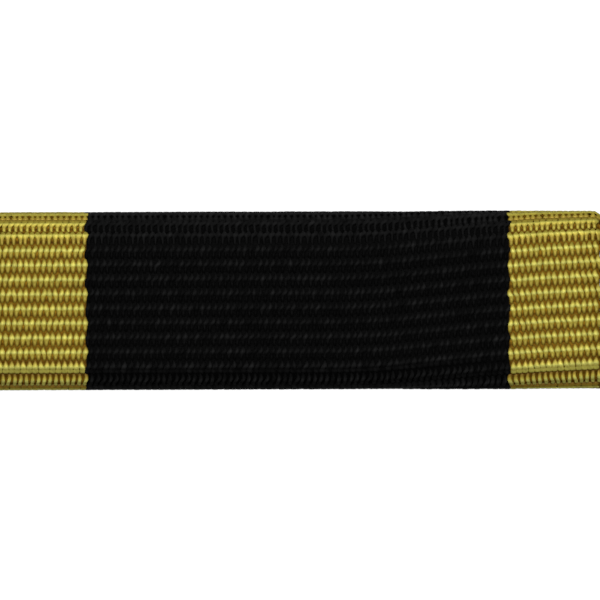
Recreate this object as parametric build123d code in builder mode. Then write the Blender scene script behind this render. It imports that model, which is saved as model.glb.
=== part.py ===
from build123d import *

from collections import namedtuple
from math import ceil, cos, floor, pi, radians, sin, sqrt
import os

# A single ribbon bar: a ribbed ribbon in gold, black and gold, folded over a brass carrier.
# It lies on its back. X runs along the bar, +Y is the upper edge as worn, and +Z is the front.
# The origin is on the surface below the middle of the bar. All sizes are in millimetres.

# The whole bar
bar_length = 34.925  # the ribbon's width, 1 3/8 inch
bar_height = 10.24  # from the lower fold to the upper fold
bar_depth = 3.9

# The ribbon
cloth_wall = 1.0  # heavy ribbed cloth, measured at the crests of its ribs
rib_pitch = 0.837
rib_depth = 0.22
valley_on_front = -0.075  # height of the valley that lies nearest the middle of the front
black_width = 24.2
stripe_gap = 0.05

# The folds, as outer radii of the ribbon: the lower one is a half round, the upper one is looser
lower_fold_radius = bar_depth / 2
upper_front_radius = 2.85
upper_front_turn = 60  # degrees that the larger radius turns before the smaller one takes over

# The carrier
sheet = 0.5  # brass strip
carrier_length = 34.3
clearance = 0.05  # between the carrier and the ribbon
lip_gap = 4.6  # between the free edges of the two lips
lip_edge_radius = 0.2
lip_lead = 0.6  # how far the lips' corners are cut back, to let the rail in

# How far the ribs have crept towards the upper edge, along the bar
Drift = namedtuple("Drift", "x rise")
rib_drift = [
    Drift(x=-bar_length / 2, rise=0.0),
    Drift(x=2.5, rise=0.0),
    Drift(x=5.0, rise=0.09),
    Drift(x=8.0, rise=0.36),
    Drift(x=11.0, rise=0.63),
    Drift(x=14.2, rise=0.86),
    Drift(x=bar_length / 2, rise=1.01),
]

# Worked out from the sizes above
lean = radians(90 - upper_front_turn)
upper_back_radius = (bar_depth - upper_front_radius * (1 - sin(lean))) / (1 + sin(lean))
upper_back_y = bar_height / 2 - upper_back_radius
upper_front_y = upper_back_y - (upper_front_radius - upper_back_radius) * cos(lean)
lower_y = lower_fold_radius - bar_height / 2

brass_face = cloth_wall + clearance  # depth of the carrier's skin below the crests
brass_inside = brass_face + sheet
tuck_radius = brass_face + lip_edge_radius  # the ribbon's outer radius round a lip's free edge
tuck_y = lip_gap / 2 + lip_edge_radius  # centre of that radius
mouth_width = lip_gap + 2 * lip_lead  # between the lips at the carrier's two ends

# Distances along the crests, counted from the middle of the front and upwards
lower_fold_end = lower_y - pi * lower_fold_radius
upper_turn_end = upper_front_y + upper_front_radius * radians(upper_front_turn)
upper_fold_end = upper_turn_end + upper_back_radius * radians(180 - upper_front_turn)
rib_radius = (rib_pitch**2 / 4 + rib_depth**2) / (2 * rib_depth)


def on_wrap(along, inset=0.0):
    """The point (y, z) at a distance along the crests, so far below them."""
    if along < lower_y:
        centre = (lower_y, lower_fold_radius)
        radius = lower_fold_radius
        angle = pi / 2 + (lower_y - along) / radius
    elif along <= upper_front_y:
        return (along, bar_depth - inset)
    elif along <= upper_turn_end:
        centre = (upper_front_y, bar_depth - upper_front_radius)
        radius = upper_front_radius
        angle = pi / 2 - (along - upper_front_y) / radius
    else:
        centre = (upper_back_y, upper_back_radius)
        radius = upper_back_radius
        angle = lean - (along - upper_turn_end) / radius
    reach = radius - inset
    return (centre[0] + reach * cos(angle), centre[1] + reach * sin(angle))


def rise_at(x):
    """How far the ribs have crept up at x, between two rows of the table."""
    for low, high in zip(rib_drift, rib_drift[1:]):
        if low.x <= x <= high.x:
            share = (x - low.x) / (high.x - low.x)
            return low.rise + share * (high.rise - low.rise)


def stations(left, right):
    """Where a stripe has its sections: its two ends and each row of the table between them."""
    return [left] + [row.x for row in rib_drift if left < row.x < right] + [right]


def smooth_wrap(inset, reach):
    """The plain C, so far below the crests, from a point reach below the middle to one above it."""
    Line((-reach, inset), (lower_y, inset))
    CenterArc((lower_y, lower_fold_radius), lower_fold_radius - inset, 90, 180)
    Line(on_wrap(lower_y, inset), on_wrap(upper_front_y, inset))
    front_centre = (upper_front_y, bar_depth - upper_front_radius)
    front_start = 90 - upper_front_turn
    CenterArc(front_centre, upper_front_radius - inset, front_start, upper_front_turn)
    back_centre = (upper_back_y, upper_back_radius)
    CenterArc(back_centre, upper_back_radius - inset, -90, 180 - upper_front_turn)
    Line((upper_back_y, inset), (reach, inset))


def round_lip(side, inset):
    """The turn round a lip's free edge, and on to the level of the lip's inner face."""
    radius = tuck_radius - inset
    across = radius * cos(pi / 4)
    middle = (side * (tuck_y - across), tuck_radius - across)
    edge = side * (tuck_y - radius)
    ThreePointArc((side * tuck_y, inset), middle, (edge, tuck_radius))
    Line((edge, tuck_radius), (edge, brass_inside))


def ribs(first, last, rise):
    """The ribs between two valleys, with half a rib and a stretch of plain fold at each end."""
    half = rib_pitch / 2
    shoulder = rib_radius - sqrt(rib_radius**2 - half**2 / 4)
    valleys = [valley_on_front + i * rib_pitch + rise for i in range(first, last + 1)]
    for low, high in zip(valleys, valleys[1:]):
        ends = (on_wrap(low, rib_depth), on_wrap(high, rib_depth))
        ThreePointArc(ends[0], on_wrap(low + half), ends[1])
    for valley, side, fold_end in (
        (valleys[0], -1, lower_fold_end),
        (valleys[-1], 1, upper_fold_end),
    ):
        crest = valley + side * half
        quarter = on_wrap(valley + side * half / 2, shoulder)
        ThreePointArc(on_wrap(valley, rib_depth), quarter, on_wrap(crest))
        ThreePointArc(on_wrap(crest), on_wrap((crest + fold_end) / 2), on_wrap(fold_end))


def ribbon_section(x, first, last):
    """The ribbon cut across at x, flat at the back where it rests and tucked round both lips."""
    with BuildSketch(Plane.YZ.offset(x)) as section:
        with BuildLine():
            ribs(first, last, rise_at(x))
            Line((-tuck_y, 0), (lower_y, 0))
            Line((upper_back_y, 0), (tuck_y, 0))
            smooth_wrap(cloth_wall, tuck_y)
            for side in (-1, 1):
                round_lip(side, 0)
                round_lip(side, cloth_wall)
                outer = side * (tuck_y - tuck_radius)
                Line((outer, brass_inside), (outer + side * cloth_wall, brass_inside))
        make_face()
    return section.sketch.face()


def whole_ribs(left, right):
    """The first and last valley that stay on the folds, half a rib clear, from end to end."""
    rises = [rise_at(left), rise_at(right)]
    lowest = lower_fold_end - valley_on_front - min(rises)
    highest = upper_fold_end - valley_on_front - max(rises)
    return ceil(lowest / rib_pitch + 0.5), floor(highest / rib_pitch - 0.5)


def ribbon_sections(left, right):
    """A stripe's sections from its left end to its right one, each with the same ribs."""
    first, last = whole_ribs(left, right)
    return [ribbon_section(x, first, last) for x in stations(left, right)]


black_edge = black_width / 2
gold_edge = black_edge + stripe_gap
ribbon_end = bar_length / 2

# Left gold stripe of the ribbon
with BuildPart() as ribbon_gold_left:
    loft(ribbon_sections(-ribbon_end, -gold_edge), ruled=True)

# Black stripe, with the ribs that bend upwards past the middle
with BuildPart() as ribbon_black_middle:
    loft(ribbon_sections(-black_edge, black_edge), ruled=True)

# Right gold stripe
with BuildPart() as ribbon_gold_right:
    loft(ribbon_sections(gold_edge, ribbon_end), ruled=True)

# Brass carrier: a strip with both long edges folded back into lips, which open out at their ends
with BuildPart() as carrier:
    with BuildSketch(Plane.YZ.offset(-carrier_length / 2)):
        with BuildLine():
            smooth_wrap(brass_face, 0)
        make_face()
        with BuildLine():
            smooth_wrap(brass_inside, 0)
        make_face(mode=Mode.SUBTRACT)
    extrude(amount=carrier_length)
    with BuildSketch(Plane.XY.offset(brass_face)):
        with BuildLine():
            Polyline(
                (0, lip_gap / 2),
                (carrier_length / 2 - lip_lead, lip_gap / 2),
                (carrier_length / 2 + lip_lead, mouth_width / 2 + lip_lead),
                (carrier_length / 2 + lip_lead, 0),
            )
            mirror(about=Plane.YZ)
            mirror(about=Plane.XZ)
        make_face()
    extrude(amount=sheet, mode=Mode.SUBTRACT)
    outside = carrier.edges().filter_by_position(Axis.Z, brass_face, brass_face)
    lip_edges = outside.filter_by_position(Axis.Y, -mouth_width / 2, mouth_width / 2)
    fillet(lip_edges, lip_edge_radius)

ribbon_gold_left.part.label = "ribbon_gold_left"
ribbon_black_middle.part.label = "ribbon_black_middle"
ribbon_gold_right.part.label = "ribbon_gold_right"
carrier.part.label = "carrier"

os.makedirs("parts", exist_ok=True)
export_step(ribbon_gold_left.part, "parts/ribbon_gold_left.step")
export_step(ribbon_black_middle.part, "parts/ribbon_black_middle.step")
export_step(ribbon_gold_right.part, "parts/ribbon_gold_right.step")
export_step(carrier.part, "parts/carrier.step")
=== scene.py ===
import math
import bpy
import numpy as np
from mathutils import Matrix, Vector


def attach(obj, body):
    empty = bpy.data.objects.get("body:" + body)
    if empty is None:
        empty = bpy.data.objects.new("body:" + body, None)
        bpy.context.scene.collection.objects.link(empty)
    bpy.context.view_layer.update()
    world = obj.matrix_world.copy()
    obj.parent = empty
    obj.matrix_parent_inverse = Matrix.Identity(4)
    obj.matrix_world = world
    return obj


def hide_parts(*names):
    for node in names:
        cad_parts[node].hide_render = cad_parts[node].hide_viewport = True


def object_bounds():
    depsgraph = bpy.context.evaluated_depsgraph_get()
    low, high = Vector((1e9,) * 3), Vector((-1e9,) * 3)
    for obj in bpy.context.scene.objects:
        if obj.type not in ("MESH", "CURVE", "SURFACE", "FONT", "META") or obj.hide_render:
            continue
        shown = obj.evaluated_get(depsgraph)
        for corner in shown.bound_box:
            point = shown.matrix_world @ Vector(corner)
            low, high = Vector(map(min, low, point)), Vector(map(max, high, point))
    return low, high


# A single ribbon bar, woven thread by thread round its brass carrier.
# It lies on its back: X along the bar, +Y its upper edge as worn, +Z out of its front.
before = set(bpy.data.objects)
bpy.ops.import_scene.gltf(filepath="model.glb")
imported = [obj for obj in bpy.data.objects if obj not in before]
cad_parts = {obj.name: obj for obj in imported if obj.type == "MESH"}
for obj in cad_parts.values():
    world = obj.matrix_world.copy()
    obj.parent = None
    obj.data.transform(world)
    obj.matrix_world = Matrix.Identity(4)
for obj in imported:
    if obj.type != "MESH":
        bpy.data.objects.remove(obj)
cadLow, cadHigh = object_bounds()
mm = 0.001  # sizes below are in millimetres, and meshes are made in metres
print("frame loaded:", ", ".join(sorted(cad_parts)))

# Camera, straight above the bar

cameraSettings = {
    "lens": 1000.0,
    "viewWidth": 34.46,  # what the picture spans at the ribs' crests
    "lookAt": (0.13, 0.0),
    "roll": 0.17,  # degrees that the bar rises to the right
}


def addCamera(settings):
    data = bpy.data.cameras.new("camera")
    data.lens = settings["lens"]
    distance = settings["viewWidth"] * mm * data.lens / data.sensor_width
    camera = bpy.data.objects.new("camera", data)
    camera.location = (settings["lookAt"][0] * mm, settings["lookAt"][1] * mm, cadHigh.z + distance)
    camera.rotation_euler = (0, 0, -math.radians(settings["roll"]))
    data.clip_start, data.clip_end = 0.01, 5.0
    bpy.context.collection.objects.link(camera)
    bpy.context.scene.camera = camera


addCamera(cameraSettings)

# The ribbon's wrap, as in the solids: one line round the bar, counted along the ribs' crests

ribbon = {
    "wall": 1.0,  # crest to crest, through the cloth
    "ribPitch": 0.837,
    "valleyOnFront": -0.075,  # the valley nearest the middle of the front
    "upperFrontRadius": 2.85,
    "upperFrontTurn": 60,
    "tuckRadius": 1.25,  # round each lip of the carrier
    "tuckY": 2.5,
    "tuckTop": 1.55,  # where the ribbon's two cut ends lie
    "driftX": (-17.4625, 2.5, 5.0, 8.0, 11.0, 14.2, 17.4625),
    "drift": (0.0, 0.0, 0.09, 0.36, 0.63, 0.86, 1.01),  # how far the ribs creep up along the bar
    # on the folds the ribs open, which moves them on: places on the even wrap, and by how much
    "openAt": (-5.1, -4.26, -3.85, -3.5, 2.6, 3.2, 3.7, 4.53, 5.37, 6.2),
    "openBy": (-0.40, -0.11, -0.06, 0.0, 0.0, 0.04, 0.13, 0.13, 0.26, 0.32),
    # what the bends do to a rib, by the place of its crest on the even wrap. In each row: the place; how
    # far its floats join at the crest (below 0 they draw together) and below it; how far the cloth fills
    # below and above the crest; how much deeper the painted shade gets at the crest, below it, in the
    # valley at its lower end and above the crest; how much further its floats lean; and how much painted
    # light is added to them, in gold and in black
    "bends": (
        (-8.90, 0.0, 0.0, 0.0, 0.0, 0.00, 0.00, 0.00, 0.00, 0.00, 0.00, 0.0),
        (-6.30, 1.0, 1.0, 1.0, 1.0, 0.00, 0.00, 0.00, 0.00, 0.00, 0.05, 0.3),
        (-5.52, 1.0, 0.0, 1.0, 1.0, -0.15, -0.12, -0.05, -0.03, 0.00, 0.26, 1.7),
        (-5.40, 1.0, 0.0, 1.0, 1.0, -0.15, -0.12, -0.05, -0.03, 0.00, 0.26, 1.7),
        (-4.68, -1.0, 0.0, 0.0, 0.0, -0.10, -0.40, 0.60, 0.05, 0.00, 0.22, 0.2),
        (-4.56, -1.0, 0.0, 0.0, 0.0, -0.10, -0.40, 0.60, 0.05, 0.00, 0.22, 0.2),
        (-3.84, 0.3, 0.8, 0.0, 0.0, -0.03, -0.30, 0.60, 0.05, 0.00, 0.00, 0.0),
        (-3.72, 0.3, 0.8, 0.0, 0.0, -0.03, -0.30, 0.60, 0.05, 0.00, 0.00, 0.0),
        (-3.00, 0.0, 0.0, 0.0, 0.0, 0.00, 0.00, 0.00, 0.00, 0.00, 0.00, 0.0),
        (2.85, 0.0, 0.0, 0.0, 0.0, 0.00, 0.00, 0.00, -0.22, 0.00, 0.00, 0.0),
        (3.69, 0.9, 0.0, 0.0, 0.0, 0.12, 0.08, -0.10, -0.38, 0.00, 0.00, 0.6),
        (3.81, 0.9, 0.0, 0.0, 0.0, 0.12, 0.08, -0.10, -0.38, 0.00, 0.00, 0.6),
        (4.53, 1.0, 0.0, 0.0, 1.0, 0.13, -0.03, -0.28, -0.13, 0.06, 0.02, 0.7),
        (4.65, 1.0, 0.0, 0.0, 1.0, 0.13, -0.03, -0.28, -0.13, 0.06, 0.02, 0.7),
        (5.37, 1.0, 0.0, 1.0, 1.0, 0.07, -0.15, 0.10, -0.25, 0.00, 0.12, 2.4),
        (6.30, 1.0, 0.0, 1.0, 1.0, -0.25, -0.30, -0.35, -0.25, 0.00, 0.20, 2.4),
        (8.50, 0.0, 0.0, 0.0, 0.0, 0.00, 0.00, 0.00, 0.00, 0.00, 0.00, 0.0),
    ),
    # places on a rib, as shares of it from -0.5 in the valley below to 0.5 in the one above
    "crestAt": (0.02, 0.11),  # where two crests touch, and how far from there
    # painted bounce light between two crests: where it sits, and how much of it goes where the crests join
    "paintedBounceAt": (-0.08, 0.07),  # where light crosses from yarn to yarn
    "paintedBounceJoined": 0.6,  # how much of that goes where the crests join
    "bodyAt": (-0.46, -0.36, -0.22, -0.05),  # where the stretch below the crest sets in and ends
    "filledAt": (-0.12, 0.00),  # up to where the valley below is filled
    "tailAt": (0.15, 0.30),  # where the slope above the crest sets in
    "dotAt": (-0.27, 0.11),  # where a gap stays open in a filled rib
    # painted shade: how much deeper the shade is in that gap
    "dotPaintedShade": 0.5,  # how much deeper the shade is in that gap
    # painted shade in the gaps on the folds: from place to place, and how much deeper it gets
    "foldPaintedShade": (3.0, 3.7, 0.15),  # from place to place on the folds, and how much deeper the gaps get
    "puff": (0.06, 0.01),  # how far the cloth stands off at the lower and the upper fold's outermost line
    "puffTurn": (0.75, 1.0),  # how far it has turned there, as a sine
    "droop": (17.05, 17.45, 0.18),  # from x to x, and how far the upper fold's corners sink there
    "droopTurn": (0.1, 0.8),
    "cutWidth": 34.925,
    "cutLength": 19.6,  # from cut end to cut end, through the middle of the cloth
}
barHalf = (cadHigh.x - cadLow.x) / 2 / mm
barDepth = (cadHigh.z - cadLow.z) / mm
barHeight = (cadHigh.y - cadLow.y) / mm
lowerRadius = barDepth / 2


def wrapPieces(settings):
    # straight runs as (length, 0) and arcs as (radius, degrees), from the lower cut end to the upper one
    frontRadius, turn = settings["upperFrontRadius"], settings["upperFrontTurn"]
    lean = math.radians(90 - turn)
    backRadius = (barDepth - frontRadius * (1 - math.sin(lean))) / (1 + math.sin(lean))
    backY = barHeight / 2 - backRadius
    frontY = backY - (frontRadius - backRadius) * math.cos(lean)
    lowerY = lowerRadius - barHeight / 2
    rise = settings["tuckTop"] - settings["tuckRadius"]
    pieces = [
        (rise, 0), (settings["tuckRadius"], 90),
        (-lowerY - settings["tuckY"], 0), (lowerRadius, 180),
        (frontY - lowerY, 0),
        (frontRadius, turn), (backRadius, 180 - turn),
        (backY - settings["tuckY"], 0), (settings["tuckRadius"], 90), (rise, 0),
    ]
    return pieces, lowerY


def layWrap(settings):
    pieces, lowerY = wrapPieces(settings)
    point = np.array([settings["tuckRadius"] - settings["tuckY"], settings["tuckTop"]])
    heading, travelled, runs = -math.pi / 2, 0.0, []
    for size, degrees in pieces:
        length = size * math.radians(degrees) if degrees else size
        runs.append((travelled, point, heading, size if degrees else 0.0))
        inward = np.array([math.sin(heading), -math.cos(heading)])
        if degrees:
            centre = point + size * inward
            heading -= math.radians(degrees)
            point = centre - size * np.array([math.sin(heading), -math.cos(heading)])
        else:
            point = point + length * np.array([math.cos(heading), math.sin(heading)])
        travelled += length
    start = lowerY - runs[4][0]  # the fifth run is the front's, and 0 lies in its middle
    return [(a + start, p, h, r) for a, p, h, r in runs], start, start + travelled


wrapRuns, wrapStart, wrapEnd = layWrap(ribbon)


def wrapFrame(along):
    # the place on the crests' line and the direction into the cloth, as y, z, inY and inZ
    along = np.asarray(along, float)
    y, z, inY, inZ = np.zeros((4,) + along.shape)
    starts = np.array([run[0] for run in wrapRuns])
    which = np.clip(np.searchsorted(starts, along, side="right") - 1, 0, len(wrapRuns) - 1)
    for i, (start, point, heading, radius) in enumerate(wrapRuns):
        here = which == i
        past = along[here] - start
        turned = heading - past / radius if radius else np.full(past.shape, heading)
        inY[here], inZ[here] = np.sin(turned), -np.cos(turned)
        if radius:
            centre = point + radius * np.array([math.sin(heading), -math.cos(heading)])
            y[here], z[here] = centre[0] - radius * inY[here], centre[1] - radius * inZ[here]
        else:
            y[here] = point[0] + past * math.cos(heading)
            z[here] = point[1] + past * math.sin(heading)
    return y, z, inY, inZ


def smooth(value, low, high):
    share = np.clip((value - low) / (high - low), 0, 1)
    return share * share * (3 - 2 * share)


def nearPlace(share, place):
    return np.exp(-(((share - place[0]) / place[1]) ** 2))


def bendAt(even, share):
    # what the bends do at a share of a rib whose crest is at this place on the even wrap
    table = np.array(ribbon["bends"]).T
    crests, bodies, below, above, *deeperPaintedShade, lean, paintedGoldLight, paintedBlackLight = (
        np.interp(even, table[0], column) for column in table[1:]
    )
    onCrest, onDot = nearPlace(share, ribbon["crestAt"]), nearPlace(share, ribbon["dotAt"])
    low, lowFull, highFull, high = ribbon["bodyAt"]
    onBody = smooth(share, low, lowFull) * (1 - smooth(share, highFull, high))
    onValley = 1 - smooth(share, low, lowFull)
    onTail = smooth(share, *ribbon["tailAt"])
    filled = below * (1 - smooth(share, *ribbon["filledAt"])) + above * onTail
    parts = (1 - onBody - onValley - onTail, onBody, onValley, onTail)
    joined = np.max([crests * onCrest, bodies * onBody, filled * (1 - onDot)], 0).clip(0, 1)
    return {
        "joined": joined,
        "drawn": (-crests).clip(0, 1),
        "filled": filled,
        "dot": filled * onDot,
        # painted shade from the bends, by part of the rib
        "deeperPaintedShade": sum(part * amount for part, amount in zip(parts, deeperPaintedShade)),
        "lean": lean,
        # painted light added on the folds, in gold and in black
        "lights": (paintedGoldLight, paintedBlackLight),
        # painted bounce light between crests, less where they join
        "paintedBounce": nearPlace(share, ribbon["paintedBounceAt"]) * (1 - ribbon["paintedBounceJoined"] * crests.clip(0, 1)),
    }


def onWrap(x, along, inset):
    # (y, z) at a distance along the crests, so far below them, on cloth that droops at the bar's ends
    y, z, inY, inZ = wrapFrame(along)
    start, end, most = ribbon["droop"]
    inset = inset + most * smooth(np.abs(x), start, end) * smooth(-inY, *ribbon["droopTurn"])
    for off, turned in zip(ribbon["puff"], (inY, -inY)):
        inset = inset - off * smooth(turned, *ribbon["puffTurn"])
    return y + inset * inY, z + inset * inZ


def creepAt(x):
    return np.interp(x, ribbon["driftX"], ribbon["drift"])


def ribsOnWrap(creep):
    # the numbers of the ribs that lie on the wrap, with 0 above the middle valley
    first = (wrapStart - ribbon["valleyOnFront"] - creep) / ribbon["ribPitch"]
    last = (wrapEnd - ribbon["valleyOnFront"] - creep) / ribbon["ribPitch"]
    return range(math.floor(first), math.ceil(last))


def evenPlace(rib, share, creep):
    # a place on a rib, along a wrap with even ribs; share runs from -0.5 to 0.5 up the rib
    return ribbon["valleyOnFront"] + creep + (rib + 0.5 + share) * ribbon["ribPitch"]


def onRib(rib, share, creep):
    # the same place on the real wrap, whose ribs open on the folds
    even = evenPlace(rib, share, creep)
    return even + np.interp(even, ribbon["openAt"], ribbon["openBy"])


print(f"ribbon wrap: {wrapEnd - wrapStart:.2f} mm along the crests")

# Meshes from arrays


def makePiece(name, points, faces, maps, traits, material):
    # points in millimetres; faces is a list of corner arrays
    # maps is {name: (corners, 2)}, and traits is {name: (points,)}
    mesh = bpy.data.meshes.new(name)
    corners = np.concatenate([f.ravel() for f in faces])
    totals = np.concatenate([np.full(len(f), f.shape[1]) for f in faces])
    mesh.vertices.add(len(points))
    mesh.vertices.foreach_set("co", (points * mm).astype(np.float32).ravel())
    mesh.loops.add(len(corners))
    mesh.loops.foreach_set("vertex_index", corners.astype(np.int32))
    mesh.polygons.add(len(totals))
    mesh.polygons.foreach_set("loop_start", (np.cumsum(totals) - totals).astype(np.int32))
    mesh.polygons.foreach_set("use_smooth", np.ones(len(totals), bool))
    for mapName, values in maps.items():
        layer = mesh.uv_layers.new(name=mapName)
        layer.uv.foreach_set("vector", values.astype(np.float32).ravel())
    for traitName, values in traits.items():
        attribute = mesh.attributes.new(traitName, "FLOAT", "POINT")
        attribute.data.foreach_set("value", values.astype(np.float32))
    mesh.validate()
    mesh.update()
    piece = bpy.data.objects.new(name, mesh)
    bpy.context.collection.objects.link(piece)
    mesh.materials.append(material)
    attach(piece, "root")
    print(f"{name}: {(totals - 2).sum()} triangles")
    return piece


def sweepRings(rings, closedEnds=True):
    # rings is (count, sides, 3); gives points, side faces and end faces of one tube
    count, sides = rings.shape[:2]
    index = np.arange(count * sides).reshape(count, sides)
    here, there = index[:-1], index[1:]
    quads = np.stack([here, np.roll(here, -1, 1), np.roll(there, -1, 1), there], -1).reshape(-1, 4)
    ends = np.stack([index[0][::-1], index[-1]]) if closedEnds else np.zeros((0, sides), int)
    return rings.reshape(-1, 3), quads, ends


# Materials' shared effects, as node groups


noiseRange = (0.3, 0.7)  # where most of a noise's values lie


def newGroup(name, inputs, outputs):
    group = bpy.data.node_groups.new(name, "ShaderNodeTree")
    for label, value in inputs.items():
        socket = group.interface.new_socket(label, in_out="INPUT", socket_type="NodeSocketFloat")
        socket.default_value = value
    for label in outputs:
        group.interface.new_socket(label, in_out="OUTPUT", socket_type="NodeSocketFloat")
    return group, group.nodes.new("NodeGroupInput"), group.nodes.new("NodeGroupOutput")


def feed(tree, socket, value):
    # gives a socket its value, or links it to the socket that has one
    if isinstance(value, bpy.types.NodeSocket):
        tree.links.new(value, socket)
    else:
        socket.default_value = value


def mathNode(tree, operation, *values):
    node = tree.nodes.new("ShaderNodeMath")
    node.operation = operation
    for socket, value in zip(node.inputs, values):
        feed(tree, socket, value)
    return node.outputs[0]


def mapRange(tree, value, fromMin, fromMax, toMin=0.0, toMax=1.0, eased=False):
    node = tree.nodes.new("ShaderNodeMapRange")
    node.interpolation_type = "SMOOTHSTEP" if eased else "LINEAR"
    limits = {"From Min": fromMin, "From Max": fromMax, "To Min": toMin, "To Max": toMax}
    for label, amount in limits.items():
        feed(tree, node.inputs[label], amount)
    tree.links.new(value, node.inputs["Value"])
    return node.outputs["Result"]


def mixColour(tree, share, a, b, blend="MIX"):
    node = tree.nodes.new("ShaderNodeMix")
    node.data_type, node.blend_type = "RGBA", blend
    for i, value in ((0, share), (6, a), (7, b)):  # the sockets that mix colours
        feed(tree, node.inputs[i], value)
    return node.outputs[2]


def noiseNode(tree, vector, scale, detail=2.0, roughness=0.5):
    node = tree.nodes.new("ShaderNodeTexNoise")
    tree.links.new(vector, node.inputs["Vector"])
    node.inputs["Scale"].default_value = scale
    node.inputs["Detail"].default_value = detail
    node.inputs["Roughness"].default_value = roughness
    return node.outputs["Fac"]


def filamentGroup():
    # fine filaments along a yarn whose map runs in millimetres along it and in turns round it
    group, given, result = newGroup(
        "yarnFilaments", {"Filaments": 14.0, "Twist": 0.6, "Waviness": 1.5}, ("Height", "Streaks")
    )
    yarnMap = group.nodes.new("ShaderNodeUVMap")
    yarnMap.uv_map = "yarn"
    split = group.nodes.new("ShaderNodeSeparateXYZ")
    group.links.new(yarnMap.outputs["UV"], split.inputs[0])
    along, around = split.outputs["X"], split.outputs["Y"]
    turned = mathNode(group, "MULTIPLY_ADD", along, given.outputs["Twist"], around)
    across = mathNode(group, "MULTIPLY", turned, given.outputs["Filaments"])
    lengthways = mathNode(group, "MULTIPLY", along, given.outputs["Waviness"])
    place = group.nodes.new("ShaderNodeCombineXYZ")
    group.links.new(across, place.inputs["X"])
    group.links.new(lengthways, place.inputs["Y"])
    ridges = noiseNode(group, place.outputs[0], 1.0, 1.0)
    group.links.new(ridges, result.inputs["Height"])
    streaks = noiseNode(group, place.outputs[0], 0.45, 2.0)
    group.links.new(mapRange(group, streaks, *noiseRange, eased=True), result.inputs["Streaks"])
    return group


def unevenGroup():
    # slow changes of shade over a surface, such as dye lots and handling
    group, given, result = newGroup("unevenShade", {"Size": 0.002, "Low": 0.9, "High": 1.1}, ("Shade",))
    place = group.nodes.new("ShaderNodeTexCoord")
    shrink = group.nodes.new("ShaderNodeVectorMath")
    shrink.operation = "SCALE"
    group.links.new(place.outputs["Object"], shrink.inputs[0])
    group.links.new(mathNode(group, "DIVIDE", 1.0, given.outputs["Size"]), shrink.inputs["Scale"])
    patches = noiseNode(group, shrink.outputs[0], 1.0, 2.0)
    shade = mapRange(group, patches, *noiseRange, given.outputs["Low"], given.outputs["High"])
    group.links.new(shade, result.inputs["Shade"])
    return group


filaments, unevenShade = filamentGroup(), unevenGroup()


def newMaterial(name):
    material = bpy.data.materials.new(name)
    material.use_nodes = True
    tree = material.node_tree
    return material, tree, tree.nodes["Principled BSDF"]


def placeGroup(tree, group, **values):
    node = tree.nodes.new("ShaderNodeGroup")
    node.node_tree = group
    for label, value in values.items():
        node.inputs[label].default_value = value
    return node


def bumpFrom(tree, shader, height, distance, strength):
    bump = tree.nodes.new("ShaderNodeBump")
    bump.inputs["Distance"].default_value = distance
    bump.inputs["Strength"].default_value = strength
    tree.links.new(height, bump.inputs["Height"])
    tree.links.new(bump.outputs["Normal"], shader.inputs["Normal"])


# Yarns

goldYarn = {
    # painted shade: colour by shade, from 0 on the brightest crests to 1 deep in the valleys
    "colours": (
        (0.00, (0.305, 0.296, 0.070)), (0.15, (0.288, 0.258, 0.046)), (0.30, (0.252, 0.207, 0.029)),
        (0.45, (0.207, 0.159, 0.021)), (0.60, (0.156, 0.108, 0.011)), (0.80, (0.100, 0.061, 0.0055)),
        (1.00, (0.075, 0.038, 0.0024)),
    ),
    # painted bounce light: a warm tint painted between two crests, where light crosses from yarn to yarn
    "paintedBounce": (1.10, 0.88, 0.45),  # tint between two crests, where the light has crossed from yarn to yarn
    "metallic": 0.25, "roughness": (0.36, 0.48), "specular": 0.1, "sheen": 0.0,
    "filaments": 15.0, "bump": 0.006, "streaks": (0.86, 1.08),
    "patch": 0.35, "shadeRange": (0.90, 1.10),  # how large its slow changes of shade are, and how strong
}
blackYarn = {
    # painted shade: colour by shade, brightest on the crests and darkest deep in the valleys, as for the
    # gold
    "colours": (
        (0.00, (0.0044, 0.0044, 0.0044)), (0.15, (0.0031, 0.0031, 0.0031)),
        (0.30, (0.0023, 0.0023, 0.0023)), (0.45, (0.0019, 0.0019, 0.0019)),
        (0.60, (0.0013, 0.0013, 0.0013)), (0.80, (0.0007, 0.0007, 0.0007)),
        (1.00, (0.0004, 0.0004, 0.0004)),
    ),
    "paintedBounce": (1.0, 1.0, 1.0),
    "metallic": 0.0, "roughness": (0.40, 0.52), "specular": 0.008, "sheen": 0.006,
    "filaments": 9.0, "bump": 0.008, "streaks": (0.6, 1.35), "patch": 0.35, "shadeRange": (0.8, 1.2),
}
weftYarn = {
    # painted shade: colour by shade, lighter near the face and darker deep in the gaps
    "colours": (
        (0.00, (0.212, 0.112, 0.0080)), (0.50, (0.124, 0.063, 0.0042)), (1.00, (0.054, 0.023, 0.0012)),
    ),
    # among the black warp: its colour, how much of that goes in the deepest painted shade, and where it
    # sets in
    "dark": {"colour": (0.0009, 0.0009, 0.0009, 1.0), "deeperPaintedShade": 0.75, "between": (12.12, 12.25)},
    "metallic": 0.0, "roughness": (0.6, 0.75), "specular": 0.02, "sheen": 0.0,
    "filaments": 22.0, "bump": 0.008, "streaks": (0.8, 1.1), "patch": 0.35, "shadeRange": (0.85, 1.15),
}


def grey(tree, value):
    node = tree.nodes.new("ShaderNodeCombineColor")
    for label in ("Red", "Green", "Blue"):
        tree.links.new(value, node.inputs[label])
    return node.outputs[0]


def trait(tree, name):
    node = tree.nodes.new("ShaderNodeAttribute")
    node.attribute_name = name
    return node.outputs["Fac"]


def shadeColours(tree, shade, colours):
    ramp = tree.nodes.new("ShaderNodeValToRGB")
    elements = ramp.color_ramp.elements
    while len(elements) < len(colours):
        elements.new(0.5)
    for element, (at, colour) in zip(elements, colours):
        element.position = at
        element.color = (*colour, 1.0)
    tree.links.new(shade, ramp.inputs["Fac"])
    return ramp.outputs["Color"]


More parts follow.
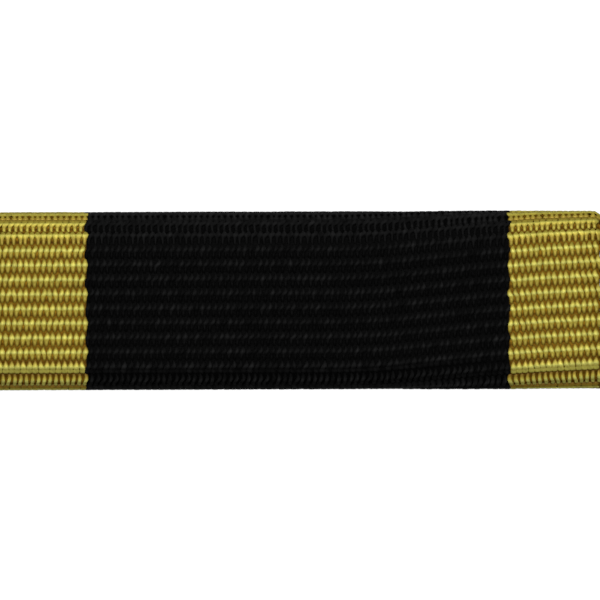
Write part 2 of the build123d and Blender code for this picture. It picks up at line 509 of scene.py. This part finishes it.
def yarnMaterial(name, yarn):
    material, tree, shader = newMaterial(name)
    fibres = placeGroup(tree, filaments, Filaments=yarn["filaments"])
    low, high = yarn["shadeRange"]
    uneven = placeGroup(tree, unevenShade, Size=yarn["patch"] * mm, Low=low, High=high)
    # painted shade: the colour follows each point's shade trait, darker deep in the cloth and at the
    # threads' sides
    colour = shadeColours(tree, trait(tree, "shade"), yarn["colours"])
    streaks = mapRange(tree, fibres.outputs["Streaks"], 0.0, 1.0, *yarn["streaks"])
    light = mathNode(tree, "MULTIPLY", streaks, uneven.outputs["Shade"])
    # on the warp: each float's random tone with the folds' painted light, then the painted bounce light
    # between crests
    if "paintedBounce" in yarn:  # warp, whose floats each have their own light
        floats = mathNode(tree, "ADD", trait(tree, "toneAndPaintedLight"), 1.0)
        light = mathNode(tree, "MULTIPLY", light, floats)
        bounceTinted = mixColour(tree, 1.0, colour, (*yarn["paintedBounce"], 1.0), "MULTIPLY")
        colour = mixColour(tree, trait(tree, "paintedBounce"), colour, bounceTinted)
    colour = mixColour(tree, 1.0, colour, grey(tree, light), "MULTIPLY")
    if "dark" in yarn:
        dark = yarn["dark"]
        inner, outer = dark["between"]
        place = tree.nodes.new("ShaderNodeTexCoord")
        split = tree.nodes.new("ShaderNodeSeparateXYZ")
        tree.links.new(place.outputs["Object"], split.inputs[0])
        fromMiddle = mathNode(tree, "ABSOLUTE", split.outputs["X"])
        # painted shade: the dark weft gets darker as its shade deepens
        deeperPaintedShade = mathNode(tree, "MULTIPLY_ADD", trait(tree, "shade"), -dark["deeperPaintedShade"], 1.0)
        black = mixColour(tree, 1.0, dark["colour"], grey(tree, deeperPaintedShade), "MULTIPLY")
        colour = mixColour(tree, mapRange(tree, fromMiddle, inner * mm, outer * mm), black, colour)
    tree.links.new(colour, shader.inputs["Base Color"])
    rough = mapRange(tree, fibres.outputs["Streaks"], 0.0, 1.0, *yarn["roughness"][::-1])
    tree.links.new(rough, shader.inputs["Roughness"])
    shader.inputs["Metallic"].default_value = yarn["metallic"]
    shader.inputs["Specular IOR Level"].default_value = yarn["specular"]
    shader.inputs["Sheen Weight"].default_value = yarn["sheen"]
    bumpFrom(tree, shader, fibres.outputs["Height"], yarn["bump"] * mm, 1.0)
    return material


# Warp threads

warp = {
    "ends": (31, 140),  # threads in each gold stripe, and in the black one
    "blackHalf": 12.135,  # from the middle to where the colour changes
    "outerEdge": 17.383,  # where the last thread ends, short of the weft's turns
    # a float over a rib: share of the rib, depth of its top, half its width, painted shade on top and at
    # its sides
    "over": (
        (-0.500, 0.165, 0.092, 0.50, 0.75), (-0.440, 0.120, 0.104, 0.45, 0.70),
        (-0.370, 0.088, 0.116, 0.40, 0.65), (-0.290, 0.074, 0.123, 0.42, 0.60),
        (-0.200, 0.066, 0.127, 0.41, 0.42), (-0.130, 0.048, 0.138, 0.25, 0.18),
        (-0.070, 0.021, 0.155, 0.10, 0.03), (-0.010, 0.000, 0.169, 0.00, 0.00),
        (0.060, 0.002, 0.168, 0.11, 0.04), (0.140, 0.028, 0.150, 0.22, 0.30),
        (0.230, 0.078, 0.126, 0.40, 0.55), (0.330, 0.140, 0.100, 0.62, 0.75),
        (0.430, 0.205, 0.085, 0.88, 0.90),
    ),
    # and a stretch under one: share, depth of its top, half its width
    "under": (
        (-0.500, 0.270, 0.085), (-0.360, 0.620, 0.090), (0.000, 0.840, 0.130), (0.360, 0.560, 0.090),
        (0.455, 0.220, 0.090),
    ),
    "thick": (0.062, 0.055),  # half thickness on a crest and in a valley
    "section": (180, 150, 120, 90, 60, 30, 0, 270),  # where its eight sides meet, in degrees round it
    "flat": 3.4,  # how flat the tops are where floats join, as a superellipse's power
    "joined": 0.21, "drawn": 0.110, "atDot": 0.095,  # half width joined, drawn together and beside a gap
    "filled": 0.6,  # how much of its depth goes where the valley is filled
    # lean is how far a float's upper end lies to the right, shift how far up the rib its painted shade and
    # highlight lie, sides how much deeper the painted shade is at its sides, and light is 0 for the gold's
    # and 1 for the black's
    "stripes": {
        "goldLeft": {"lean": 0.020, "shift": 0.0, "width": 1.0, "sides": 0.0, "light": 0},
        "black": {"lean": 0.070, "shift": 0.09, "width": 0.88, "sides": 0.25, "light": 1},
        "goldRight": {"lean": -0.020, "shift": 0.0, "width": 1.0, "sides": 0.0, "light": 0},
    },
    # painted bounce light: how much of it is on a thread's top as well as at its sides
    "paintedBounceTop": 0.45,  # how much of the warmth is on its top too
    # painted shade at the sides: how close to them it stays
    "sidePower": 1.5,  # how close to its sides their shade stays
    # how much the floats differ at random in tone, strongest at the crest, which also paints their uneven
    # highlights
    "toneAndPaintedLight": (0.12, 0.55),  # how much the floats differ in light, in gold and in black
    "slant": 0.026, "sway": 0.012, "swell": 0.05, "lift": 0.010,  # and in lean, bow, width and height
    "cutJitter": 0.04, "cutClear": 0.02,  # how uneven the cut ends are, and how far the next ring is
    "seed": 11,
}


def warpPlaces(settings):
    gold, black = settings["ends"]
    goldPitch = (settings["outerEdge"] - settings["blackHalf"]) / gold
    blackPitch = 2 * settings["blackHalf"] / black
    left = -settings["outerEdge"] + goldPitch * (np.arange(gold) + 0.5)
    middle = -settings["blackHalf"] + blackPitch * (np.arange(black) + 0.5)
    return np.concatenate([left, middle, -left[::-1]])


def threadLine(settings, number, x, stripe, chance):
    # one thread's rings, as rows of x, along, inset, half width, half thickness, tone and painted light,
    # joined, painted shade on top, painted shade at the sides and painted bounce light
    creep = creepAt(x)
    crest, valley = settings["thick"]
    lines = []
    for rib in ribsOnWrap(creep):
        over = (number + rib) % 2 == 0
        table = np.array(settings["over" if over else "under"]).T
        at, top, half = table[:3]
        slant, sway, swell, lift, toneAndPaintedLight = chance.normal(0.0, 1.0, 5).clip(-2, 2)
        hump = np.cos(math.pi * at) ** 2
        thick = valley + (crest - valley) * hump
        offset, joined, paintedBounce, light = np.zeros((4, len(at)))
        # an under stretch takes the full painted shade
        shades = np.ones((2, len(at)))
        if over:
            bend = bendAt(evenPlace(rib, 0, creep), at)
            joined, paintedBounce, light = bend["joined"], bend["paintedBounce"], bend["lights"][stripe["light"]]
            top = (top + settings["lift"] * abs(lift) * hump) * (1 - settings["filled"] * bend["filled"])
            half = half * (1 + settings["swell"] * swell * hump) * stripe["width"]
            half = half + (settings["joined"] - half) * joined + (settings["drawn"] - half) * bend["drawn"]
            half = half + (settings["atDot"] - half) * bend["dot"]
            leaning = stripe["lean"] + bend["lean"] + settings["slant"] * slant
            offset = leaning * np.sin(2 * math.pi * at.clip(-0.25, 0.5)) + settings["sway"] * sway * hump
            # painted highlight and shade: the shade columns moved up the rib by the stripe's shift, the
            # bends' deeper shade, and deeper shade at the sides and in open gaps
            shades = np.stack([np.interp(at - stripe["shift"], at, column) for column in table[3:]])
            shades = shades + bend["deeperPaintedShade"]
            shades[1] = shades[1] + stripe["sides"] + ribbon["dotPaintedShade"] * bend["dot"]
            shades = shades.clip(0, 1)
        # each float's random tone, plus the painted light of the folds
        toneAndPaintedLight = toneAndPaintedLight / 2 * hump * settings["toneAndPaintedLight"][stripe["light"]] + light
        along = onRib(rib, at, creep)
        rows = (x + offset, along, top + thick, half, thick, toneAndPaintedLight, joined, *shades, paintedBounce)
        lines.append(np.stack(rows, 1))
    line = np.concatenate(lines)
    jitter, clear = settings["cutJitter"], settings["cutClear"]
    ends = [wrapStart + chance.uniform(0, jitter), wrapEnd - chance.uniform(0, jitter)]
    kept = line[(line[:, 1] > ends[0] + clear) & (line[:, 1] < ends[1] - clear)]
    capped = [np.array([np.interp(e, line[:, 1], column) for column in line.T]) for e in ends]
    return np.vstack([capped[0], kept, capped[1]])


def threadRings(settings, line):
    # (rings, sides, 3) points, and three traits for each point
    centreX, along, inset, half, thick, toneAndPaintedLight, joined, shadeTop, shadeSide, paintedBounce = line.T[:, :, None]
    slopeAlong, slopeIn = np.gradient(along, axis=0), np.gradient(inset, axis=0)
    length = np.hypot(slopeAlong, slopeIn)
    power = 2 / (2 + (settings["flat"] - 2) * joined)
    angle = np.radians(settings["section"])
    across, upwards = np.cos(angle).round(6), np.sin(angle).round(6)
    up = thick * np.sign(upwards) * np.abs(upwards) ** power
    ringAlong = along + up * slopeIn / length
    ringInset = inset - up * slopeAlong / length
    ringX = centreX + half * np.sign(across) * np.abs(across) ** power
    y, z = onWrap(ringX, ringAlong, ringInset)
    # painted shade round each ring, from the top's to the sides' and the underside's; painted bounce light
    # mostly at the sides
    sideways = np.where(upwards < 0, 1.0, np.abs(across) ** settings["sidePower"])
    traits = {
        "shade": shadeTop + (shadeSide - shadeTop) * sideways,
        "toneAndPaintedLight": toneAndPaintedLight.repeat(len(sideways), 1),
        "paintedBounce": paintedBounce * (settings["paintedBounceTop"] + (1 - settings["paintedBounceTop"]) * sideways),
    }
    return np.stack([ringX, y, z], -1), traits


bakeMap = {
    # shares of the map's length
    "ends": 0.004,
    "capAt": 0.0018, "capHalf": 0.0015,
    # and shares of a thread's strip
    "beside": 0.06, "capReach": 0.3,
}


def stripMap(along, across):
    # the map of a strip's faces, corner by corner
    u, v = np.meshgrid(along, across, indexing="ij")
    near, far = slice(None, -1), slice(1, None)
    corners = ((near, near), (near, far), (far, far), (far, near))
    return np.stack([np.stack([u[place], v[place]], -1) for place in corners], 2).reshape(-1, 2)


def threadMaps(count, sides, place, places, along, turn):
    # the bake's map gives each thread a strip of its own, and the yarn's map is in millimetres and turns
    ringShare = np.linspace(bakeMap["ends"], 1 - bakeMap["ends"], count)
    low, high = (place + bakeMap["beside"]) / places, (place + 1 - bakeMap["beside"]) / places
    sideShare = np.linspace(low, high, sides + 1)
    turns = np.linspace(0, 1, sides + 1) + turn
    return stripMap(ringShare, sideShare), stripMap(along, turns)


def capMaps(sides, place, places):
    # small discs for a thread's two cut ends, beside its strip
    angle = 2 * math.pi * np.arange(sides) / sides
    across = (place + 0.5) / places + bakeMap["capReach"] / places * np.sin(angle)
    centres = (bakeMap["capAt"], 1 - bakeMap["capAt"])
    return np.concatenate(
        [np.stack([centre + bakeMap["capHalf"] * np.cos(angle), across], 1) for centre in centres]
    )


def joinTubes(tubes):
    # many tubes as one mesh, with their sides and cut ends facing outwards
    points, quads, ends, total = [], [], [], 0
    for rings in tubes:
        tubePoints, tubeQuads, tubeEnds = sweepRings(rings)
        points.append(tubePoints)
        quads.append(tubeQuads[:, ::-1] + total)
        ends.append(tubeEnds[:, ::-1] + total)
        total += len(tubePoints)
    return np.concatenate(points), [np.concatenate(quads), np.concatenate(ends)]


def weaveThreads(name, settings, numbers, places, stripe, material):
    chance = np.random.default_rng(settings["seed"] + int(numbers[0]))
    sides, count = len(settings["section"]), len(numbers)
    tubes, bakes, yarns, bakeCaps, yarnCaps = [], [], [], [], []
    traits = {"shade": [], "toneAndPaintedLight": [], "paintedBounce": []}
    for place, number in enumerate(numbers):
        line = threadLine(settings, int(number), places[number], stripe, chance)
        rings, ringTraits = threadRings(settings, line)
        tubes.append(rings)
        for key, values in ringTraits.items():
            traits[key].append(values.ravel())
        bake, yarn = threadMaps(len(line), sides, place, count, line[:, 1], number)
        bakes.append(bake)
        yarns.append(yarn)
        bakeCaps.append(capMaps(sides, place, count))
        yarnCaps.append(np.full((2 * sides, 2), float(number)))
    points, faces = joinTubes(tubes)
    maps = {"OFBake": np.concatenate(bakes + bakeCaps), "yarn": np.concatenate(yarns + yarnCaps)}
    traits = {key: np.concatenate(values) for key, values in traits.items()}
    return makePiece(name, points, faces, maps, traits, material)


warpPlacesX = warpPlaces(warp)
goldMaterial = yarnMaterial("goldFilamentYarn", goldYarn)
blackMaterial = yarnMaterial("blackFilamentYarn", blackYarn)
goldEnds, blackEnds = warp["ends"]
threadNumbers = np.arange(len(warpPlacesX))
leftNumbers, blackNumbers, rightNumbers = np.split(threadNumbers, [goldEnds, goldEnds + blackEnds])
blackQuarters = np.array_split(blackNumbers, 4)
leftStripe, blackStripe, rightStripe = warp["stripes"].values()
warpParts = {
    "warpGoldLeft": (leftNumbers, leftStripe, goldMaterial, "gold_ribbon"),
    "warpBlackLeft": (blackQuarters[0], blackStripe, blackMaterial, "black_ribbon"),
    "warpBlackMiddleLeft": (blackQuarters[1], blackStripe, blackMaterial, "black_ribbon"),
    "warpBlackMiddleRight": (blackQuarters[2], blackStripe, blackMaterial, "black_ribbon"),
    "warpBlackRight": (blackQuarters[3], blackStripe, blackMaterial, "black_ribbon"),
    "warpGoldRight": (rightNumbers, rightStripe, goldMaterial, "gold_ribbon"),
}
warpPieces = {
    name: weaveThreads(name, warp, numbers, warpPlacesX, stripe, material)
    for name, (numbers, stripe, material, slot) in warpParts.items()
}

# Weft: the ground of the cloth, two picks in every rib, and their turns at the selvedges

weft = {
    # the ground across a rib: share, depth of its face, painted shade
    "across": (
        (-0.50, 0.225, 0.55), (-0.43, 0.218, 0.95), (-0.34, 0.208, 0.78), (-0.25, 0.20, 0.40),
        (-0.17, 0.188, 0.05), (-0.10, 0.168, 0.00), (-0.03, 0.152, 0.00), (0.04, 0.152, 0.20),
        (0.12, 0.168, 0.40), (0.20, 0.188, 0.60), (0.29, 0.203, 0.75), (0.38, 0.215, 0.70),
        (0.45, 0.223, 0.45),
    ),
    "ribs": (-16, 16),  # more than lie on the wrap anywhere, and cut to its length
    "end": 17.33,  # how far it reaches from the middle
    "cutBack": 0.03,  # how much shorter it is than the warp, at each cut end
    "filled": 0.45,  # how much of its depth goes where the valley is filled
    "stations": 31, "steps": 377,  # points along the bar, and round the wrap
    "pickPitch": 0.42,
    "edgeMap": {"left": (0.002, 0.022), "right": (0.978, 0.998), "margin": 0.05, "beside": 0.03},
    "picks": (-0.22, 0.21),  # where the picks lie across a rib
    # their turns: how far they start inside the end and stay from the cut ends, then reach, half sizes,
    # length and the rings and sides they are made of
    "turnInside": 0.08, "turnClear": 0.1, "turnReach": 0.125, "turnHalf": 0.085, "turnThick": 0.24,
    "turnLength": 0.6, "turnSteps": 9, "turnSides": 8,
    "endFilaments": (40, 10),  # scale of the yarn's map on the ground's edges and the turns' ends
}


def groundLoop(settings, x):
    # once round the ground cloth at x: along its front, and back along its inside
    creep = float(creepAt(x))
    at, face, shade = np.array(settings["across"]).T
    ribs = np.arange(*settings["ribs"])[:, None]
    along = onRib(ribs, at, creep).ravel()
    bend = bendAt(evenPlace(ribs, 0, creep), at)
    faces = (face * (1 - settings["filled"] * bend["filled"])).ravel()
    start, full, most = ribbon["foldPaintedShade"]
    # painted shade on the ground: the bends' deeper shade, darker in the open gaps and in the gaps on the
    # folds
    deeperPaintedShade = bend["deeperPaintedShade"].clip(0, 1) + ribbon["dotPaintedShade"] * bend["dot"]
    deeperPaintedShade = deeperPaintedShade + most * smooth(np.abs(evenPlace(ribs, 0, creep)), start, full)
    shades = (shade + deeperPaintedShade).clip(0, 1).ravel()
    cutBack = settings["cutBack"]
    steps = np.linspace(wrapStart + cutBack, wrapEnd - cutBack, settings["steps"])
    face = np.interp(steps, along, faces)
    shade = np.interp(steps, along, shades)
    front = onWrap(x, steps, face)
    inside = onWrap(x, steps[::-1], ribbon["wall"] - face[::-1])
    y, z = np.concatenate([front[0], inside[0]]), np.concatenate([front[1], inside[1]])
    return np.stack([np.full(len(y), x), y, z], 1), np.concatenate([shade, shade[::-1]])


def weaveGround(settings, material):
    stations = np.linspace(-settings["end"], settings["end"], settings["stations"])
    loops, shades = zip(*[groundLoop(settings, x) for x in stations])
    rings = np.stack(loops)
    count, around = rings.shape[:2]
    points, quads, _ = sweepRings(rings, closedEnds=False)
    half = around // 2
    front, inside = np.arange(half), np.arange(around - 1, half - 1, -1)
    left = np.stack([front[:-1], inside[:-1], inside[1:], front[1:]], -1)
    right = np.stack([front[:-1], front[1:], inside[1:], inside[:-1]], -1) + (count - 1) * around
    bake, yarn = threadMaps(count, around, 0, 1, stations, 0)
    edges = settings["edgeMap"]
    bake[:, 0] = edges["beside"] + (1 - 2 * edges["beside"]) * bake[:, 0]
    yarn[:, 1] = yarn[:, 1] * 2 * (wrapEnd - wrapStart) / settings["pickPitch"]  # one turn for each pick
    share = edges["margin"] + (1 - 2 * edges["margin"]) * front / half
    low, high = share[:-1], share[1:]
    leftFront, leftInside, rightFront, rightInside = [
        np.full(half - 1, u) for u in (*edges["left"], *edges["right"])
    ]
    leftMap = [leftFront, low, leftInside, low, leftInside, high, leftFront, high]
    rightMap = [rightFront, low, rightFront, high, rightInside, high, rightInside, low]
    caps = [np.stack(corners, -1).reshape(-1, 2) for corners in (leftMap, rightMap)]
    maps = {
        "OFBake": np.concatenate([bake] + caps),
        "yarn": np.concatenate([yarn] + [cap * settings["endFilaments"][0] for cap in caps]),
    }
    faces = [quads, np.concatenate([left, right])]
    traits = {"shade": np.concatenate(shades)}
    return makePiece("ribbonGround", points, faces, maps, traits, material)


def turnRings(settings, x, side, lowAlong, highAlong):
    # a pick's turn at the selvedge, from one pick to the next
    sides, steps = settings["turnSides"], settings["turnSteps"]
    swing = np.linspace(-math.pi / 2, math.pi / 2, steps)[:, None]
    angle = 2 * math.pi * np.arange(sides) / sides
    middle, reach = (lowAlong + highAlong) / 2, (highAlong - lowAlong) / 2
    outwards, upwards, wide = np.cos(swing), np.sin(swing), settings["turnHalf"]
    outX = x + side * (settings["turnReach"] * outwards + wide * outwards * np.cos(angle))
    along = middle + reach * upwards + wide * upwards * np.cos(angle)
    inset = ribbon["wall"] / 2 + settings["turnThick"] * np.sin(angle) * np.ones((steps, 1))
    y, z = onWrap(outX, along, inset)
    return np.stack([outX, y, z], -1), inset


def weaveTurns(settings, material):
    x, clear = settings["end"] - settings["turnInside"], settings["turnClear"]
    jobs = []
    for side in (-1, 1):
        creep = float(creepAt(side * barHalf))
        for rib in ribsOnWrap(creep):
            low, high = settings["picks"]
            if side < 0:  # the shed changes here, so the turn crosses a valley
                low, high = high - 1, low
            lowAlong, highAlong = onRib(rib, low, creep), onRib(rib, high, creep)
            if lowAlong > wrapStart + clear and highAlong < wrapEnd - clear:
                jobs.append((side, lowAlong, highAlong))
    tubes, depths, bakes, yarns, bakeCaps = [], [], [], [], []
    for place, (side, lowAlong, highAlong) in enumerate(jobs):
        rings, inset = turnRings(settings, side * x, side, lowAlong, highAlong)
        if side < 0:
            rings, inset = rings[:, ::-1], inset[:, ::-1]
        count, sides = inset.shape
        tubes.append(rings)
        depths.append(inset.ravel())
        lengths = np.linspace(0, settings["turnLength"], count)
        bake, yarn = threadMaps(count, sides, place, len(jobs), lengths, place)
        bakes.append(bake)
        yarns.append(yarn)
        bakeCaps.append(capMaps(sides, place, len(jobs)))
    points, faces = joinTubes(tubes)
    maps = {
        "OFBake": np.concatenate(bakes + bakeCaps),
        "yarn": np.concatenate(yarns + [cap * settings["endFilaments"][1] for cap in bakeCaps]),
    }
    # painted shade on the turns: the deeper in the cloth, the darker
    traits = {"shade": np.concatenate(depths)}  # the deeper in the cloth, the darker
    return makePiece("selvedgeTurns", points, faces, maps, traits, material)


weftMaterial = yarnMaterial("brownWeftYarn", weftYarn)
ground = weaveGround(weft, weftMaterial)
turns = weaveTurns(weft, weftMaterial)
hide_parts("ribbon_gold_left", "ribbon_black_middle", "ribbon_gold_right")
print("ribbon woven")

# Brass carrier

brass = {
    "clean": (0.60, 0.40, 0.15, 1.0),
    "tarnish": (0.30, 0.17, 0.06, 1.0),
    "roughness": (0.24, 0.42),
    "rolling": (250, 9000, 9000),  # scale of the rolling lines, which run along the bar
    "lineDepth": 0.01,
    "stainSize": 3.0, "stainFrom": 0.55,  # how large the stains are, and how rare
}


def brassMaterial(settings):
    material, tree, shader = newMaterial("rolledBrass")
    place = tree.nodes.new("ShaderNodeTexCoord")
    stretch = tree.nodes.new("ShaderNodeMapping")
    stretch.inputs["Scale"].default_value = settings["rolling"]
    tree.links.new(place.outputs["Object"], stretch.inputs["Vector"])
    lines = noiseNode(tree, stretch.outputs[0], 1.0, 3.0, 0.6)
    uneven = placeGroup(tree, unevenShade, Size=settings["stainSize"] * mm, Low=0.0, High=1.0)
    stain = mapRange(tree, uneven.outputs["Shade"], settings["stainFrom"], 1.0, eased=True)
    colour = mixColour(tree, stain, settings["clean"], settings["tarnish"])
    tree.links.new(colour, shader.inputs["Base Color"])
    shader.inputs["Metallic"].default_value = 1.0
    rough = mapRange(tree, lines, *noiseRange, *settings["roughness"])
    tree.links.new(rough, shader.inputs["Roughness"])
    bumpFrom(tree, shader, lines, settings["lineDepth"] * mm, 0.5)
    return material


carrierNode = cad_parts["carrier"]
carrierNode.data.materials.clear()
carrierNode.data.materials.append(brassMaterial(brass))

# Floor, light and view

studio = {
    "floorSize": 3.0,
    "floorColour": (0.12, 0.12, 0.12, 1), "floorRoughness": 0.8, "floorSpecular": 0.2,
    "floorGlow": 0.92,  # a pale panel lit from below, which keeps the bar's shadow faint
    "floorBounce": 0.04,  # how much of it the bar gets back
    "world": 0.35,
    "softbox": {"width": 0.45, "length": 1.1, "distance": 0.6, "tilt": 20, "power": 9.0},
}


def addFloor(settings):
    half = settings["floorSize"] / 2
    mesh = bpy.data.meshes.new("floor")
    corners = [(-half, -half, 0), (half, -half, 0), (half, half, 0), (-half, half, 0)]
    mesh.from_pydata(corners, [], [(0, 1, 2, 3)])
    floor = bpy.data.objects.new("floor", mesh)
    bpy.context.collection.objects.link(floor)
    material, tree, shader = newMaterial("paleFloor")
    shader.inputs["Base Color"].default_value = settings["floorColour"]
    shader.inputs["Emission Color"].default_value = (1, 1, 1, 1)
    shader.inputs["Emission Strength"].default_value = settings["floorGlow"]
    shader.inputs["Roughness"].default_value = settings["floorRoughness"]
    shader.inputs["Specular IOR Level"].default_value = settings["floorSpecular"]
    clear = tree.nodes.new("ShaderNodeBsdfTransparent")
    dim = tree.nodes.new("ShaderNodeEmission")
    dim.inputs["Strength"].default_value = settings["floorBounce"]
    seen = tree.nodes.new("ShaderNodeLightPath")
    straight = tree.nodes.new("ShaderNodeMixShader")
    tree.links.new(seen.outputs["Is Camera Ray"], straight.inputs[0])
    tree.links.new(dim.outputs[0], straight.inputs[1])
    tree.links.new(shader.outputs[0], straight.inputs[2])
    side = tree.nodes.new("ShaderNodeNewGeometry")
    either = tree.nodes.new("ShaderNodeMixShader")
    tree.links.new(side.outputs["Backfacing"], either.inputs[0])
    tree.links.new(straight.outputs[0], either.inputs[1])
    tree.links.new(clear.outputs[0], either.inputs[2])
    tree.links.new(either.outputs[0], tree.nodes["Material Output"].inputs["Surface"])
    mesh.materials.append(material)


def addSoftbox(name, settings):
    data = bpy.data.lights.new(name, "AREA")
    data.shape, data.size, data.size_y = "RECTANGLE", settings["width"], settings["length"]
    data.energy = settings["power"]
    light = bpy.data.objects.new(name, data)
    tilt = math.radians(settings["tilt"])  # from straight above the bar, towards its upper edge
    light.location = (0, settings["distance"] * math.sin(tilt), settings["distance"] * math.cos(tilt))
    light.rotation_euler = (-tilt, 0, 0)
    light.visible_camera = False
    bpy.context.collection.objects.link(light)


def addWorld(strength):
    world = bpy.data.worlds.new("paleRoom")
    world.use_nodes = True
    world.node_tree.nodes["Background"].inputs["Color"].default_value = (1, 1, 1, 1)
    world.node_tree.nodes["Background"].inputs["Strength"].default_value = strength
    bpy.context.scene.world = world


addFloor(studio)
addSoftbox("softbox", studio["softbox"])
addWorld(studio["world"])
bpy.context.scene.view_settings.view_transform = "Standard"
print("studio set")
